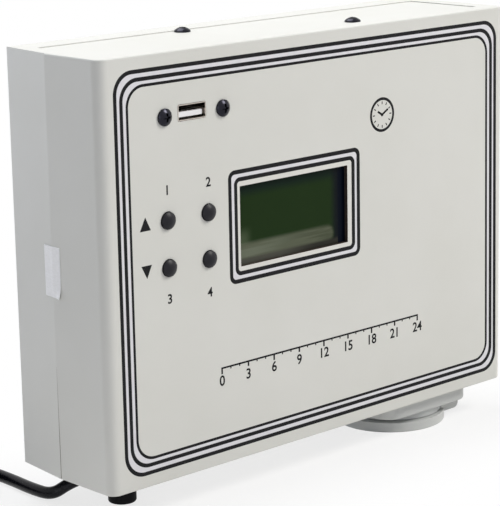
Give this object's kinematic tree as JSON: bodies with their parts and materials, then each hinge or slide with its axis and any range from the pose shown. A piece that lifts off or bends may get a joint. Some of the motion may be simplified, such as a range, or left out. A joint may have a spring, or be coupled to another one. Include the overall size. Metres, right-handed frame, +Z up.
{
  "type": "azan clock",
  "caption": "Programmable azan clock: grey plastic box with a display, push buttons, USB port, mains cord with plug, and a lidded mains outlet below.",
  "frame": {"origin": "on the standing surface, under the middle of the case: midway across its width, and midway between the buttons' tops and the back wall", "axes": "+X to the right along the face, +Y away from the viewer through the case, +Z up"},
  "size_m": [0.2907, 0.1318, 0.1702],
  "materials": {
    "case_plastic": "fine satin texture",
    "outlet_plastic": "smooth satin",
    "paper": "matt paper",
    "button_plastic": "satin",
    "black_screw": "black oxide",
    "zinc_steel": "zinc plated",
    "nickel_steel": "nickel plated",
    "white_plastic": "moulded",
    "black_plastic": "moulded",
    "brass_contact": "bright",
    "display_glass": "polished",
    "diffuser": "moulded",
    "black_steel": "semi-gloss",
    "circuit_board": "solder mask",
    "relay_blue": "moulded",
    "terminal_green": "moulded",
    "spacer_nylon": "moulded",
    "transformer_wrap": "tape wrapped",
    "cord_pvc": "satin",
    "wire_brown": "satin",
    "ribbon_grey": "satin",
    "foot_rubber": "moulded"
  },
  "bodies": {
    "case": {"board_screws": "black_screw", "bottom_panel": "case_plastic", "capacitors": "black_plastic", "case_screws": "black_screw", "cell_holder": "black_plastic", "coin_cell": "zinc_steel", "contact_sleeves": "brass_contact", "controller": "black_plastic", "cord_bushing": "black_plastic", "earth_clips": "brass_contact", "foot_screw": "black_screw", "front_shell": "case_plastic", "hex_nuts": "zinc_steel", "inner_lead": "cord_pvc", "keypad_board": "circuit_board", "lcd_backlight": "diffuser", "lcd_bezel": "black_steel", "lcd_board": "circuit_board", "lcd_glass": "display_glass", "lcd_ribbon": "ribbon_grey", "lid_pin": "zinc_steel", "lid_spring": "zinc_steel", "main_board": "circuit_board", "main_header": "black_plastic", "mains_cord": "cord_pvc", "mains_cord_coil": "cord_pvc", "plug_body": "black_plastic", "plug_pins": "nickel_steel", "rear_shell": "case_plastic", "relay": "relay_blue", "rubber_foot": "foot_rubber", "socket_body": "outlet_plastic", "socket_insert": "outlet_plastic", "socket_ring": "outlet_plastic", "socket_wires": "wire_brown", "supply_board": "circuit_board", "supply_capacitor": "black_plastic", "supply_screws": "black_screw", "supply_spacers": "spacer_nylon", "supply_wires": "wire_brown", "switch_down": "black_plastic", "switch_menu": "black_plastic", "switch_ok": "black_plastic", "switch_up": "black_plastic", "terminal_block": "terminal_green", "top_panel": "case_plastic", "transformer": "transformer_wrap", "usb_contacts": "brass_contact", "usb_housing": "black_plastic", "usb_lead": "cord_pvc", "usb_screws": "black_screw", "usb_shell": "nickel_steel", "usb_tongue": "white_plastic", "warranty_seal": "paper"},
    "up_button": {"button_up": "button_plastic"},
    "menu_button": {"button_menu": "button_plastic"},
    "down_button": {"button_down": "button_plastic"},
    "ok_button": {"button_ok": "button_plastic"},
    "outlet_lid": {"socket_lid": "outlet_plastic"}
  },
  "joints": [
    {"name": "press_up", "type": "slide", "parent": "case", "child": "up_button", "axis": [0, 1, 0], "range_m": [0, 0.0005], "stiffness_N_per_m": 1500, "springref_m": -0.0005},
    {"name": "press_menu", "type": "slide", "parent": "case", "child": "menu_button", "axis": [0, 1, 0], "range_m": [0, 0.0005], "stiffness_N_per_m": 1500, "springref_m": -0.0005},
    {"name": "press_down", "type": "slide", "parent": "case", "child": "down_button", "axis": [0, 1, 0], "range_m": [0, 0.0005], "stiffness_N_per_m": 1500, "springref_m": -0.0005},
    {"name": "press_ok", "type": "slide", "parent": "case", "child": "ok_button", "axis": [0, 1, 0], "range_m": [0, 0.0005], "stiffness_N_per_m": 1500, "springref_m": -0.0005},
    {"name": "lid_hinge", "type": "hinge", "parent": "case", "child": "outlet_lid", "pos_m": [0.0866, -0.001, 0.0049], "axis": [0, -1, 0], "range_deg": [0, 110], "stiffness_Nm_per_rad": 0.02, "springref_deg": -28.65}
  ]
}
